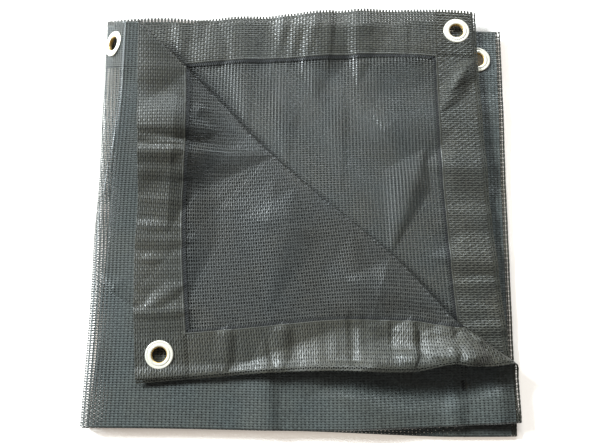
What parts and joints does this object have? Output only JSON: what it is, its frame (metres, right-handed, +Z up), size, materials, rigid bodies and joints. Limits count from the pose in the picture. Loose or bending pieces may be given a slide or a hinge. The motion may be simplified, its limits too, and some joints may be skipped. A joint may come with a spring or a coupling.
{
  "type": "folded mesh tarp",
  "caption": "Square tarp of dark knitted mesh with a hemmed border and metal eyelets, folded in quarters with the top corner turned back.",
  "frame": {"origin": "middle of the tarp's box, on the surface that it lies on", "axes": "+Z up, +X to the right along the front fold, +Y away from the front fold"},
  "size_m": [0.3904, 0.3986, 0.0285],
  "materials": {
    "mesh": "open knitted mesh of charcoal yarn with a faint green tint, semi-matte",
    "border": "two layers of the same mesh, denser and a little shinier",
    "eyelet": "bright pale plated metal with a warmer bore"
  },
  "bodies": {
    "root": {"mesh_sheet": "mesh", "border_strip_outer": "border", "border_strip_inner": "border", "eyelet_flap": "eyelet", "eyelet_second": "eyelet", "eyelet_third": "eyelet", "eyelet_lowest": "eyelet", "eyelet_fold": "eyelet"}
  },
  "joints": []
}
